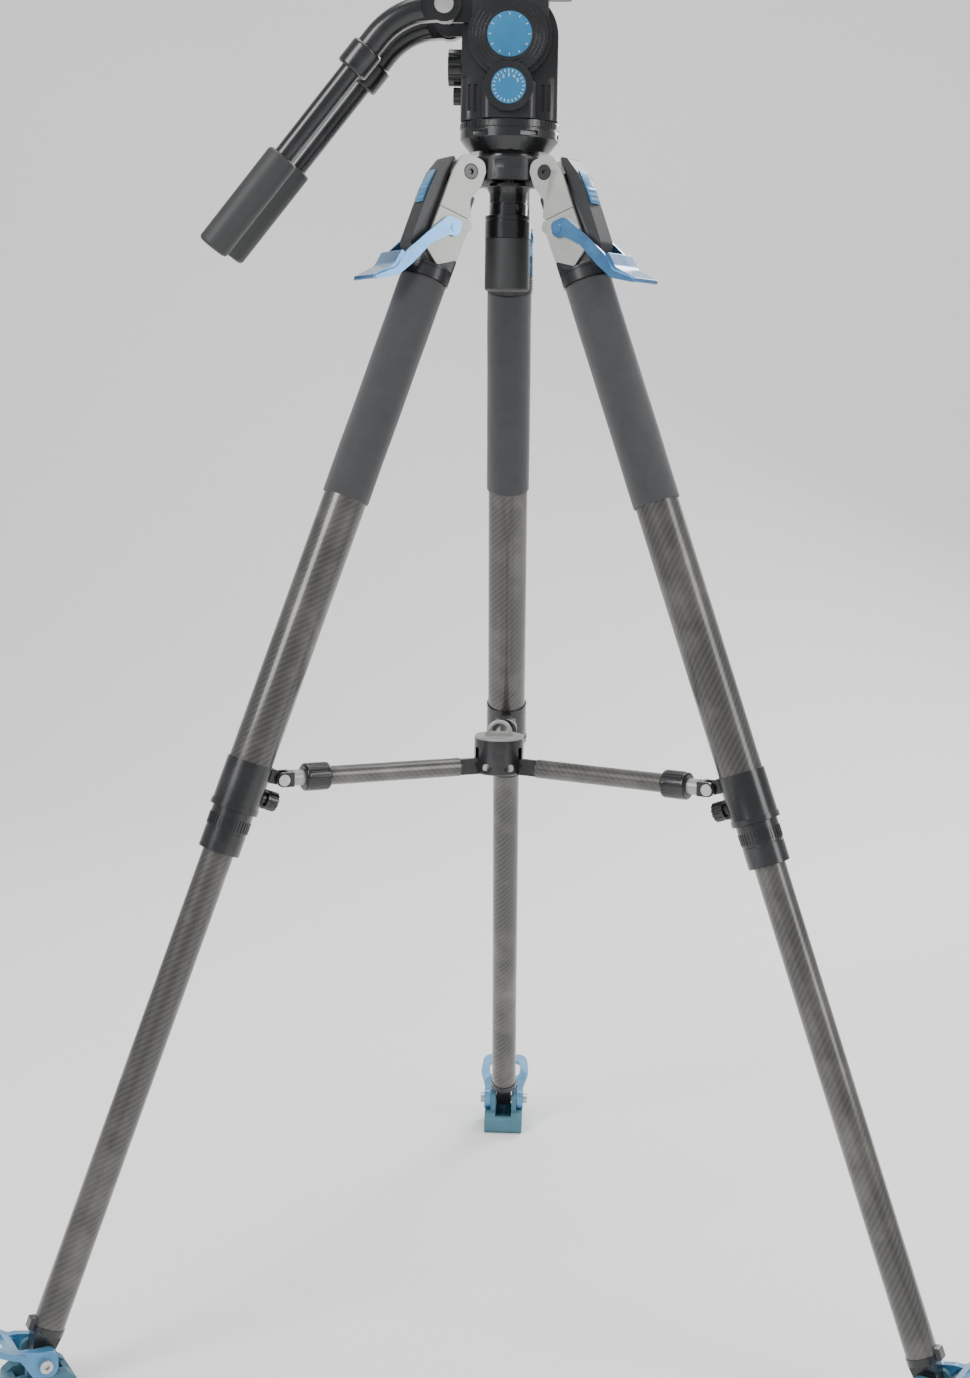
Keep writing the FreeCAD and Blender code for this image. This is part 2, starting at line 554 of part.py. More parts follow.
def knurled(shape, radius, count, cutR, low, high, along, at):
    """Grooves along a knob's edge."""
    side = along.cross(Z if abs(along.z) < 0.5 else X).normalize()
    other = along.cross(side).normalize()
    for i in range(count):
        a = 2 * math.pi * i / count
        place = at + side * (radius * math.cos(a)) + other * (radius * math.sin(a))
        shape = shape.cut(rod(cutR, low, high, along, place))
    return shape


save("pan_body", panBody())

at = Vector(0, 0, panDialZ)
dial = fuse(rod(panDialR, panDialIn, panDialOut, Y * -1, at), rod(8, bossOut - 13, panDialIn, Y * -1, at))
dial = dial.cut(rod(panCapR + 0.05, panDialOut - 1.2, panDialOut + 1, Y * -1, at))
dial = knurled(dial, panDialR + 0.5, 30, 0.9, panDialIn - 1, panDialOut - 1.5, Y * -1, at)
save("pan_drag_dial", dial, rod(panCapR, panDialOut - 1.2, panDialOut - 0.2, Y * -1, at))

at = Vector(0, 0, lockZ)
lock = fuse(rod(lockR, bodyHalfX + 0.4, lockOut, X * -1, at), rod(4, 31, bodyHalfX + 1, X * -1, at))
lock = knurled(lock, lockR + 1.2, 10, 2.6, bodyHalfX, lockOut + 1, X * -1, at)
save("tilt_lock_knob", lock)

at = Vector(0, 0, panLockZ)
lock = fuse(rod(panLockR, bodyHalfX + 0.4, panLockOut, X * -1, at), rod(3, 35, bodyHalfX + 1, X * -1, at))
save("pan_lock_knob", knurled(lock, panLockR + 0.6, 10, 1.3, bodyHalfX, panLockOut + 1, X * -1, at))


# --- tilt cradle -----------------------------------------------------------------------------

axisAt = Vector(0, 0, tiltZ)


def tiltCradle():
    cheek = rod(cheekR, cheekIn, cheekOut, Y, axisAt)
    post = block(-36, 36, cheekIn, cheekOut, tiltZ, deckHigh)
    ear = slab([(-30, rosetteZ - 14, 0), (-30, deckHigh, 0), (-50, deckHigh, 10),
                (rosetteX - 14, rosetteZ + 8, 10), (rosetteX - 10, rosetteZ - 14, 10)],
               cheekIn, barY - armHalf - gap)
    rosette = rod(rosetteR - 1.5, cheekIn, barY - armHalf - gap, Y, Vector(rosetteX, 0, rosetteZ))
    side = fuse(cheek, post, ear, rosette)
    deck = slab([(-deckHalf, -cheekOut, 6), (deckHalf, -cheekOut, 6), (deckHalf, cheekOut, 6),
                 (-deckHalf, cheekOut, 6)], deckLow, deckHigh, "xy")
    slope = (plateLowY - plateHighY) * (railTop - deckHigh) / (plateNeck - deckHigh)
    rail = Part.Face(Part.makePolygon([
        Vector(-deckHalf, plateLowY + gap, deckHigh - 1), Vector(-deckHalf, railOut, deckHigh - 1),
        Vector(-deckHalf, railOut, railTop), Vector(-deckHalf, plateLowY + gap - slope, railTop),
        Vector(-deckHalf, plateLowY + gap, deckHigh)] + [Vector(-deckHalf, plateLowY + gap, deckHigh - 1)]))
    rail = rail.extrude(X * (2 * deckHalf))
    body = fuse(side, mirrored(side), deck, rail, mirrored(rail))
    body = body.cut(rod(shaftR, -60, 60, Y, axisAt))
    body = body.cut(rod(4 + fit, 30, 60, Y, Vector(plateKnobX, 0, plateKnobZ)))
    body = body.cut(rod(armBoltR + fit, -60, 60, Y, Vector(rosetteX, 0, rosetteZ)))
    return body


save("tilt_cradle", tiltCradle())
shaft = rod(shaftR, -cheekOut, cheekOut, Y, axisAt)
shaft = shaft.cut(rod(stubR + fit, cheekOut - 8, cheekOut + 1, Y, axisAt))
shaft = shaft.cut(rod(stubR + fit, cheekOut - 8, cheekOut + 1, Y * -1, axisAt))
save("tilt_shaft", shaft)

dial = fuse(rod(dialR, cheekOut + 0.2, dialOut, Y * -1, axisAt), rod(stubR, cheekOut - 7, cheekOut + 1, Y * -1, axisAt))
for radius in (25.0, 28.5, 32.0):
    dial = dial.cut(pipe(radius + 0.5, radius - 0.5, dialOut - 0.6, dialOut + 1, Y * -1, axisAt))
dial = dial.cut(rod(capR + 0.05, dialOut - 0.8, dialOut + 1, Y * -1, axisAt))
save("tilt_drag_dial", dial, rod(capR, dialOut - 0.8, dialOut + 0.3, Y * -1, axisAt))

dial = fuse(rod(counterR, cheekOut + 0.2, counterOut, Y, axisAt), rod(stubR, cheekOut - 7, cheekOut + 1, Y, axisAt))
save("counterbalance_dial", knurled(dial, counterR + 0.8, 24, 2.0, cheekOut, counterOut + 1, Y, axisAt))


def cameraPlate():
    profile = [(-plateLowY, plateLow), (plateLowY, plateLow), (plateHighY, plateNeck),
               (plateHighY + 3, plateNeck + 0.6), (plateHighY + 3, plateHigh),
               (-plateHighY - 3, plateHigh), (-plateHighY - 3, plateNeck + 0.6), (-plateHighY, plateNeck)]
    points = [Vector(-plateHalfX, y, z) for y, z in profile]
    body = Part.Face(Part.makePolygon(points + points[:1])).extrude(X * (2 * plateHalfX))
    body = body.cut(block(-42, 42, -9, 9, plateLow - 1, plateLow + 5.7))
    return body.cut(block(-38, 38, -screwBigR - 0.3, screwBigR + 0.3, plateLow, plateHigh + 1))


def cameraScrew(radius, x):
    at = Vector(x, 0, 0)
    head = rod(8, plateLow + 0.7, plateLow + 5.7, Z, at)
    shank = rod(radius - 0.3, plateLow + 5, plateHigh, Z, at)
    return fuse(head, shank, rod(radius, plateHigh, plateHigh + screwProud, Z, at))


save("camera_plate", cameraPlate())
save("camera_screws", cameraScrew(screwBigR, screwBigX), cameraScrew(screwSmallR, screwSmallX))

at = Vector(plateKnobX, 0, plateKnobZ)
lock = fuse(rod(plateKnobR, cheekOut + 0.3, cheekOut + 16, Y, at), rod(4, 33, cheekOut + 1, Y, at))
save("plate_lock_knob", knurled(lock, plateKnobR + 0.5, 8, 1.3, cheekOut + 2, cheekOut + 17, Y, at))


# --- pan bars --------------------------------------------------------------------------------

startDir = Vector(-math.cos(math.radians(armStartDeg)), 0, -math.sin(math.radians(armStartDeg)))
barDir = Vector(-math.cos(math.radians(barDeg)), 0, -math.sin(math.radians(barDeg)))


def armRoute(y):
    """Rosette, corner and end of the bent arm: the corner is where its two runs would meet."""
    start, end = Vector(rosetteX, y, rosetteZ), Vector(armEndX, y, armEndZ)
    span = end - start
    cross = startDir.x * barDir.z - startDir.z * barDir.x
    first = (span.x * barDir.z - span.z * barDir.x) / cross
    return start, start + startDir * first, end


def panArm(y):
    start, corner, end = armRoute(y)
    half = startDir.getAngle(barDir) / 2
    one, two = corner - startDir * armTangent, corner + barDir * armTangent
    inward = ((one - corner).normalize() + (two - corner).normalize()).normalize()
    radius = armTangent / math.tan(half)
    centreOfBend = corner + inward * (radius / math.cos(half))
    middle = centreOfBend - inward * radius
    path = Part.Wire([Part.makeLine(start, one), Part.Arc(one, middle, two).toShape(),
                      Part.makeLine(two, end)])
    profile = Part.Wire([Part.makeCircle(armR, start, startDir)])
    arm = path.makePipeShell([profile], True, False)
    eye = rod(rosetteR, y - armHalf, y + armHalf, Y, Vector(rosetteX, 0, rosetteZ))
    arm = fuse(arm.cut(rod(rosetteR + 6, -80, 80, Y, Vector(rosetteX, 0, rosetteZ))),
               slab([(rosetteX, rosetteZ + 11, 0), (rosetteX - 26, rosetteZ + 6, 0),
                     (rosetteX - 26, rosetteZ - 16, 0), (rosetteX, rosetteZ - 14, 0)],
                    y - armHalf, y + armHalf), eye)
    arm = arm.cut(rod(barR + fit, -barInside - 0.5, 40, barDir, end))
    clamp = rod(clampR, -clampLong / 2, clampLong / 2, barDir, end)
    clamp = clamp.makeFillet(3.0, [e for e in clamp.Edges if len(e.Vertexes) == 1])
    clamp = clamp.cut(rod(armR, -40, 0.01, barDir, end)).cut(rod(barR + fit, -40, 40, barDir, end))
    out = 1 if y > 0 else -1
    bolt = fuse(rod(armBoltR, -22, 0, Y * out, Vector(rosetteX, y + out * armHalf, rosetteZ)),
                rod(9.0, 0, 5, Y * out, Vector(rosetteX, y + out * armHalf, rosetteZ)))
    arm = arm.cut(rod(armBoltR, -80, 80, Y, Vector(rosetteX, 0, rosetteZ)))
    return arm, clamp, bolt


for side, y in (("near", -barY), ("far", barY)):
    end = armRoute(y)[2]
    save(f"pan_arm_{side}", *panArm(y))
    tube = pipe(barR, barR - barWall, -barInside, barLong, barDir, end)
    grip = rod(barGripR, barGripFrom, barGripTo, barDir, end)
    grip = grip.makeFillet(4.0, [e for e in grip.Edges if len(e.Vertexes) == 1])
    grip = grip.cut(rod(barR + gap, barGripFrom - 5, barLong + gap, barDir, end))
    save(f"pan_bar_{side}", tube, grip)
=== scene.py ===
import bpy, bmesh, json, math
from mathutils import Vector, Matrix

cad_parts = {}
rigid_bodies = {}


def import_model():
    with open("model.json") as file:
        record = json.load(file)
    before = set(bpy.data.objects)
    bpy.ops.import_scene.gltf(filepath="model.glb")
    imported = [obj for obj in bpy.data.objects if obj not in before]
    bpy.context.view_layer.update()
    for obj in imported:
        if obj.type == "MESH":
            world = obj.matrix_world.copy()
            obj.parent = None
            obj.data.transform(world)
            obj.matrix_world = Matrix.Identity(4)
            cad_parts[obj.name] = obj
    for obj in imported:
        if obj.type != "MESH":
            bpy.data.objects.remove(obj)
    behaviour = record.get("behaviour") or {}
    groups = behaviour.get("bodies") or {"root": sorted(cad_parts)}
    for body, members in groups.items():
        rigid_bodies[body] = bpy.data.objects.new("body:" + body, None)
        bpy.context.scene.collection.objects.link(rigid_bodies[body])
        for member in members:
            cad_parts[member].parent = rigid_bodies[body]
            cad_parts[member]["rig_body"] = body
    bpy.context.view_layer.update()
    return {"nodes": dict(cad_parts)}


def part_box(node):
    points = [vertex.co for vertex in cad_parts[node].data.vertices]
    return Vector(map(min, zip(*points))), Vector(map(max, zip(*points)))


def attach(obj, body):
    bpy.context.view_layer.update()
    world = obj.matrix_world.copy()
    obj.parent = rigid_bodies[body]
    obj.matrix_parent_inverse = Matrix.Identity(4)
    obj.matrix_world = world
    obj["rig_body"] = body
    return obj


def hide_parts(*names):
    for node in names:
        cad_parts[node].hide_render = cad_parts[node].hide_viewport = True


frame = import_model()
nodes = frame["nodes"]
legs = {"left": 210.0, "right": 330.0, "rear": 90.0}
print("frame loaded,", len(nodes), "nodes")


# ---- shader helpers

class Sock:
    # a value socket that takes plain arithmetic
    def __init__(self, mat, out):
        self.mat, self.out = mat, out

    def op(self, kind, a, b=None):
        return self.mat.add("ShaderNodeMath", {"operation": kind},
                            {i: v for i, v in enumerate((a, b)) if v is not None})

    def __add__(self, o): return self.op("ADD", self, o)
    def __radd__(self, o): return self.op("ADD", o, self)
    def __sub__(self, o): return self.op("SUBTRACT", self, o)
    def __rsub__(self, o): return self.op("SUBTRACT", o, self)
    def __mul__(self, o): return self.op("MULTIPLY", self, o)
    def __rmul__(self, o): return self.op("MULTIPLY", o, self)
    def __lt__(self, o): return self.op("LESS_THAN", self, o)
    def __mod__(self, o): return self.op("FLOORED_MODULO", self, o)
    def floor(self): return self.op("FLOOR", self)
    def sin(self): return self.op("SINE", self)
    def clamp(self): return self.mat.add("ShaderNodeClamp", {}, {"Value": self})


class Finish:
    def __init__(self, name):
        self.material = bpy.data.materials.new(name)
        self.material.use_nodes = True
        self.tree = self.material.node_tree
        self.tree.nodes.clear()
        self.end = self.tree.nodes.new("ShaderNodeOutputMaterial")

    def add(self, kind, settings=None, values=None, output=0):
        node = self.tree.nodes.new(kind)
        for key, value in (settings or {}).items():
            setattr(node, key, value)
        for key, value in (values or {}).items():
            if isinstance(value, Sock):
                self.tree.links.new(value.out, node.inputs[key])
            else:
                node.inputs[key].default_value = value
        return Sock(self, node.outputs[output])

    def objectPlace(self):
        return self.add("ShaderNodeTexCoord", output=3)

    def noise(self, scale, detail=3.0, rough=0.5):
        return self.add("ShaderNodeTexNoise", {}, {"Vector": self.objectPlace(), "Scale": scale,
                        "Detail": detail, "Roughness": rough})

    def mix(self, factor, a, b):
        a, b = [(*c, 1.0) if isinstance(c, tuple) and len(c) == 3 else c for c in (a, b)]
        return self.add("ShaderNodeMix", {"data_type": "RGBA"}, {0: factor, 6: a, 7: b}, output=2)

    def bump(self, height, strength, distance):
        return self.add("ShaderNodeBump", {}, {"Strength": strength, "Distance": distance, "Height": height})

    def shade(self, values):
        values = {k: ((*v, 1.0) if isinstance(v, tuple) and len(v) == 3 else v) for k, v in values.items()}
        out = self.add("ShaderNodeBsdfPrincipled", {}, values)
        self.tree.links.new(out.out, self.end.inputs["Surface"])
        return self.material


# carbonLook: warp and weft are the tows' own colours; pale is a painted sheen colour blended into the carbon in
# blotches
carbonLook = {"warp": (0.060, 0.057, 0.052), "weft": (0.034, 0.033, 0.031), "pale": (0.17, 0.16, 0.14)}
blackLook = {"base": (0.012, 0.0125, 0.014), "dust": (0.035, 0.036, 0.038), "rough": 0.26}


def carbonWeave():
    # 2x2 twill on the tube's own wrap, where one UV unit is one tow
    f = Finish("carbonWeave")
    uv = f.add("ShaderNodeUVMap", {"uv_map": "wrap"})
    split = f.tree.nodes.new("ShaderNodeSeparateXYZ")
    f.tree.links.new(uv.out, split.inputs[0])
    u, v = Sock(f, split.outputs[0]), Sock(f, split.outputs[1])
    over = ((u.floor() - v.floor()) % 4.0) < 1.5
    warpHump = ((u % 1.0) * math.pi).sin()
    weftHump = ((v % 1.0) * math.pi).sin()
    hump = over * warpHump + (1 - over) * weftHump
    # blotch and streak noise make a painted sheen mask: where it is high, the carbon's colour is painted
    # towards the pale sheen colour and its roughness drops
    blotch = f.noise(11.0, 3.0, 0.62)
    streak = f.noise(38.0, 2.0, 0.5)
    painted_sheen = ((blotch - 0.46) * 3.4 + (streak - 0.5) * 1.3).clamp()
    colour = f.mix(over, carbonLook["weft"], carbonLook["warp"])
    colour = f.mix(painted_sheen * 0.6, colour, carbonLook["pale"])
    colour = f.mix((f.noise(340.0, 2.0) - 0.35) * 0.5, colour, (0.04, 0.038, 0.035))
    return f.shade({"Base Color": colour, "Metallic": 0.35, "Roughness": 0.44 - painted_sheen * 0.12,
                    "Coat Weight": 0.7, "Coat Roughness": 0.12, "Normal": f.bump(hump, 0.12, 0.0002)})


def blackGloss():
    f = Finish("blackAnodised")
    smudge = f.noise(28.0, 4.0, 0.6)
    grain = f.noise(2600.0, 2.0)
    colour = f.mix(((smudge - 0.5) * 2.4).clamp(), blackLook["base"], blackLook["dust"])
    return f.shade({"Base Color": colour, "Metallic": 0.25,
                    "Roughness": blackLook["rough"] + (smudge - 0.5) * 0.22,
                    "Coat Weight": 0.35, "Coat Roughness": 0.2, "Normal": f.bump(grain, 0.12, 0.00008)})


def castBlack():
    # the crowns and the head's castings: fine powder grain under satin paint
    f = Finish("castBlack")
    grain = f.noise(900.0, 3.0, 0.55)
    smudge = f.noise(22.0, 3.0)
    colour = f.mix(smudge, (0.010, 0.0105, 0.012), (0.028, 0.029, 0.031))
    return f.shade({"Base Color": colour, "Metallic": 0.15, "Roughness": 0.34 + (smudge - 0.5) * 0.2,
                    "Normal": f.bump(grain, 0.3, 0.00012)})


def satinSilver():
    f = Finish("satinSilver")
    grain = f.noise(1600.0, 2.0)
    smudge = f.noise(45.0, 4.0)
    colour = f.mix(smudge, (0.30, 0.30, 0.285), (0.42, 0.42, 0.40))
    return f.shade({"Base Color": colour, "Metallic": 0.55, "Roughness": 0.40 + (smudge - 0.5) * 0.2,
                    "Normal": f.bump(grain, 0.2, 0.00006)})


def steelPlain():
    f = Finish("machinedSteel")
    rings = f.add("ShaderNodeTexWave", {"wave_type": "RINGS"}, {"Vector": f.objectPlace(), "Scale": 420.0,
                  "Distortion": 1.5, "Detail": 2.0})
    smudge = f.noise(90.0, 3.0)
    colour = f.mix(smudge, (0.42, 0.42, 0.42), (0.62, 0.62, 0.61))
    return f.shade({"Base Color": colour, "Metallic": 0.9, "Roughness": 0.28 + smudge * 0.14,
                    "Normal": f.bump(rings, 0.06, 0.00005)})


def blueAnodised(name, deep, pale, rough, metal):
    f = Finish(name)
    smudge = f.noise(26.0, 4.0, 0.6)
    grain = f.noise(1900.0, 2.0)
    colour = f.mix(((smudge - 0.3) * 1.8).clamp(), deep, pale)
    return f.shade({"Base Color": colour, "Metallic": metal, "Roughness": rough + (smudge - 0.5) * 0.16,
                    "Coat Weight": 0.5, "Coat Roughness": 0.12, "Normal": f.bump(grain, 0.1, 0.00006)})


def foamSkin():
    # closed-cell foam: pores, a dull bloom and a few scuffs
    f = Finish("foamSkin")
    pores = f.add("ShaderNodeTexVoronoi", {}, {"Vector": f.objectPlace(), "Scale": 900.0})
    soft = f.noise(60.0, 5.0, 0.65)
    speck = f.noise(1400.0, 2.0)
    colour = f.mix(soft, (0.020, 0.021, 0.023), (0.042, 0.043, 0.046))
    colour = f.mix(((speck - 0.62) * 5.0).clamp() * 0.4, colour, (0.09, 0.09, 0.095))
    height = pores * 0.6 + soft * 0.4
    return f.shade({"Base Color": colour, "Roughness": 0.92, "Normal": f.bump(height, 0.6, 0.00035),
                    "Sheen Weight": 0.25, "Sheen Roughness": 0.6})


def rubber(name, dark, pale, rough=0.62):
    f = Finish(name)
    soft = f.noise(40.0, 4.0, 0.6)
    grain = f.noise(1500.0, 3.0)
    colour = f.mix(soft, dark, pale)
    return f.shade({"Base Color": colour, "Roughness": rough + (soft - 0.5) * 0.2,
                    "Normal": f.bump(grain, 0.35, 0.00012)})


carbon, black, cast, satin, steel = carbonWeave(), blackGloss(), castBlack(), satinSilver(), steelPlain()
leverBlue = blueAnodised("leverBlue", (0.035, 0.14, 0.33), (0.12, 0.32, 0.58), 0.20, 0.7)
frameBlue = blueAnodised("frameBlue", (0.045, 0.19, 0.38), (0.11, 0.32, 0.54), 0.34, 0.3)
dialBlue = blueAnodised("dialBlue", (0.012, 0.14, 0.30), (0.03, 0.20, 0.38), 0.34, 0.1)
foam = foamSkin()
soleTeal = rubber("soleTeal", (0.035, 0.115, 0.165), (0.075, 0.19, 0.25))
gripRubber = rubber("gripRubber", (0.022, 0.023, 0.024), (0.036, 0.037, 0.038), 0.55)
markWhite = rubber("markWhite", (0.60, 0.62, 0.62), (0.78, 0.80, 0.80), 0.5)
print("finishes made")


# ---- carried-over CAD nodes: a merged, softened copy with a finish for each loose solid

edgeWidth = {"default": 0.0004, "leg": 0.0006, "fine": 0.0002}


legPlace = {"lean": 21.0, "pivotRadius": 0.0515, "pivotHeight": 1.137}
armPlace = {"hubRadius": 0.021, "hubHeight": 0.556, "reach": 0.215, "rise": 0.003}


def legFrame(degrees):
    # outward, tangent and down-the-leg directions and the hinge point of a leg
    a, lean = math.radians(degrees), math.radians(legPlace["lean"])
    o, t = Vector((math.cos(a), math.sin(a), 0)), Vector((-math.sin(a), math.cos(a), 0))
    down = o * math.sin(lean) - Vector((0, 0, 1)) * math.cos(lean)
    out = o * math.cos(lean) + Vector((0, 0, 1)) * math.sin(lean)
    return out, t, down, o * legPlace["pivotRadius"] + Vector((0, 0, legPlace["pivotHeight"]))


def islands(mesh):
    # faces of each solid, largest box first: where two solids touch along an edge, its faces pair up in order
    mesh.faces.index_update()
    mesh.faces.ensure_lookup_table()
    seen, groups = set(), []
    for face in mesh.faces:
        if face.index in seen:
            continue
        stack, group = [face], []
        seen.add(face.index)
        while stack:
            here = stack.pop()
            group.append(here)
            for edge in here.edges:
                around = sorted(edge.link_faces, key=lambda f: f.index)
                pair = around.index(here) // 2 * 2
                for other in around[pair:pair + 2]:
                    if other.index not in seen:
                        seen.add(other.index)
                        stack.append(other)
        points = [v.co for f in group for v in f.verts]
        size = [max(p[i] for p in points) - min(p[i] for p in points) for i in range(3)]
        groups.append((math.dist((0, 0, 0), size), group))
    return [g for _, g in sorted(groups, key=lambda item: -item[0])]


def wrapUv(obj, start, along, tow=0.0017):
    # wraps the tube's surface: U runs round it and V along it, both counted in tows
    along = along.normalized()
    side = along.orthogonal().normalized()
    other = along.cross(side)
    layer = obj.data.uv_layers.get("wrap") or obj.data.uv_layers.new(name="wrap")
    for polygon in obj.data.polygons:
        angles, lengths, radii = [], [], []
        for loop in polygon.loop_indices:
            d = obj.data.vertices[obj.data.loops[loop].vertex_index].co - start
            x, y = d.dot(side), d.dot(other)
            angles.append(math.atan2(y, x))
            lengths.append(d.dot(along))
            radii.append(math.hypot(x, y))
        if max(angles) - min(angles) > math.pi:
            angles = [a + 2 * math.pi if a < 0 else a for a in angles]
        count = 4 * max(1, round(2 * math.pi * max(radii) / tow / 4))
        for loop, a, l in zip(polygon.loop_indices, angles, lengths):
            layer.data[loop].uv = (a / (2 * math.pi) * count, l / tow)


def dress(name, finishes, width=None, wrap=None):
    source = nodes[name]
    mesh = bmesh.new()
    mesh.from_mesh(source.data)
    bmesh.ops.remove_doubles(mesh, verts=mesh.verts, dist=1e-6)
    for number, group in enumerate(islands(mesh)):
        for face in group:
            face.material_index = min(number, len(finishes) - 1)
        if number:
            bmesh.ops.split(mesh, geom=group)
    bmesh.ops.dissolve_limit(mesh, angle_limit=math.radians(0.6), verts=mesh.verts, edges=mesh.edges,
                             delimit={"MATERIAL"})
    data = bpy.data.meshes.new(name + "_shown")
    mesh.to_mesh(data)
    mesh.free()
    piece = bpy.data.objects.new(name + "_shown", data)
    bpy.context.scene.collection.objects.link(piece)
    for finish in finishes:
        data.materials.append(finish)
    data.shade_smooth()
    data.set_sharp_from_angle(angle=math.radians(32))
    if wrap:
        wrapUv(piece, *wrap)
    bevel = piece.modifiers.new("softEdge", "BEVEL")
    bevel.width, bevel.segments = width or edgeWidth["default"], 2
    bevel.limit_method, bevel.angle_limit = "ANGLE", math.radians(38)
    bevel.harden_normals = True
    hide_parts(name)
    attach(piece, source["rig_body"])
    return piece


for leg, degrees in legs.items():
    out, side, down, hinge = legFrame(degrees)
    wrap = (hinge, down)
    dress(f"leg_{leg}_crown", [cast], edgeWidth["leg"])
    dress(f"leg_{leg}_side_plates", [satin], edgeWidth["default"])
    dress(f"leg_{leg}_angle_tab", [frameBlue], edgeWidth["fine"])
    dress(f"leg_{leg}_lock_lever", [leverBlue], edgeWidth["leg"])
    dress(f"leg_{leg}_upper_section", [carbon, black, steel], edgeWidth["default"], wrap)
    dress(f"leg_{leg}_collar_knob", [black], edgeWidth["fine"])
    dress(f"leg_{leg}_middle_section", [carbon, black, black], edgeWidth["default"], wrap)
    dress(f"leg_{leg}_lower_section", [carbon, black, black, steel], edgeWidth["default"], wrap)
    dress(f"leg_{leg}_shoe", [frameBlue, soleTeal, steel], edgeWidth["leg"])
    a = math.radians(degrees)
    flat = Vector((math.cos(a), math.sin(a), 0.0))
    armWrap = (flat * armPlace["hubRadius"] + Vector((0, 0, armPlace["hubHeight"])),
               flat * armPlace["reach"] + Vector((0, 0, armPlace["rise"])))
    dress(f"spreader_arm_{leg}", [carbon, black], edgeWidth["fine"], armWrap)
    dress(f"spreader_slider_{leg}", [satin, black], edgeWidth["fine"])
    dress(f"spreader_ring_{leg}", [black], edgeWidth["fine"])
for name, finishes in {
        "spreader_hub": [black, satin, steel], "apex_casting": [cast], "leg_pivot_bolts": [black],
        "half_ball": [black], "turntable_base": [black, steel], "tie_down_handle": [black, gripRubber],
        "pan_body": [cast], "pan_drag_dial": [black, dialBlue], "tilt_lock_knob": [black],
        "pan_lock_knob": [black], "tilt_cradle": [cast], "tilt_shaft": [steel],
        "tilt_drag_dial": [black, dialBlue], "counterbalance_dial": [black], "camera_plate": [black],
        "camera_screws": [steel], "plate_lock_knob": [black], "pan_arm_near": [black, black, steel],
        "pan_arm_far": [black, black, steel], "pan_bar_near": [black, gripRubber],
        "pan_bar_far": [black, gripRubber]}.items():
    dress(name, finishes)
print("CAD nodes dressed")


# ---- geometry nodes: what repeats round a circle

def nodeTree(name, inputs):
    # an empty tree with named float or integer inputs and a material input
    tree = bpy.data.node_groups.new(name, "GeometryNodeTree")
    ids = {}
    for label, kind, value in inputs:
        item = tree.interface.new_socket(label, in_out="INPUT", socket_type=kind)
        if value is not None:
            item.default_value = value
        ids[label] = item.identifier
    tree.interface.new_socket("Geometry", in_out="OUTPUT", socket_type="NodeSocketGeometry")
    return tree, ids


def wire(tree, made, links):
    for a, outSocket, b, inSocket in links:
        tree.links.new(made[a].outputs[outSocket], made[b].inputs[inSocket])


def ringTree():
    # bars set round a circle in the XY plane, facing outwards
    tree, ids = nodeTree("barsOnRing", [("Count", "NodeSocketInt", 24), ("Radius", "NodeSocketFloat", 0.02),
                         ("Long", "NodeSocketFloat", 0.004), ("Wide", "NodeSocketFloat", 0.001),
                         ("Tall", "NodeSocketFloat", 0.001), ("Finish", "NodeSocketMaterial", None)])
    made = {}
    for key, kind in (("in", "NodeGroupInput"), ("circle", "GeometryNodeMeshCircle"),
                      ("points", "GeometryNodeMeshToPoints"), ("size", "ShaderNodeCombineXYZ"),
                      ("cube", "GeometryNodeMeshCube"), ("place", "GeometryNodeInputPosition"),
                      ("turn", "FunctionNodeAlignRotationToVector"), ("each", "GeometryNodeInstanceOnPoints"),
                      ("real", "GeometryNodeRealizeInstances"), ("paint", "GeometryNodeSetMaterial"),
                      ("out", "NodeGroupOutput")):
        made[key] = tree.nodes.new(kind)
    made["turn"].axis = "X"
    wire(tree, made, [("in", "Count", "circle", "Vertices"), ("in", "Radius", "circle", "Radius"),
                      ("circle", "Mesh", "points", "Mesh"), ("points", "Points", "each", "Points"),
                      ("in", "Long", "size", "X"), ("in", "Wide", "size", "Y"), ("in", "Tall", "size", "Z"),
                      ("size", "Vector", "cube", "Size"), ("cube", "Mesh", "each", "Instance"),
                      ("place", "Position", "turn", "Vector"), ("turn", "Rotation", "each", "Rotation"),
                      ("each", "Instances", "real", "Geometry"), ("real", "Geometry", "paint", "Geometry"),
                      ("in", "Finish", "paint", "Material"), ("paint", "Geometry", "out", "Geometry")])
    return tree, ids


barsOnRing = ringTree()


def grow(name, treeAndIds, values, at, along, body):
    # runs the tree, turns its result into a plain mesh and sets it in place
    tree, ids = treeAndIds
    holder = bpy.data.objects.new(name + "_grow", bpy.data.meshes.new(name + "_grow"))
    bpy.context.scene.collection.objects.link(holder)
    modifier = holder.modifiers.new("grow", "NODES")
    modifier.node_group = tree
    for label, value in values.items():
        modifier[ids[label]] = value
    graph = bpy.context.evaluated_depsgraph_get()
    data = bpy.data.meshes.new_from_object(holder.evaluated_get(graph), depsgraph=graph)
    bpy.data.objects.remove(holder)
    data.name = name
    data.transform(Matrix.Translation(at) @ along.normalized().to_track_quat("Z", "Y").to_matrix().to_4x4())
    data.shade_smooth()
    data.set_sharp_from_angle(angle=math.radians(40))
    piece = bpy.data.objects.new(name, data)
    bpy.context.scene.collection.objects.link(piece)
    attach(piece, body)
    return piece


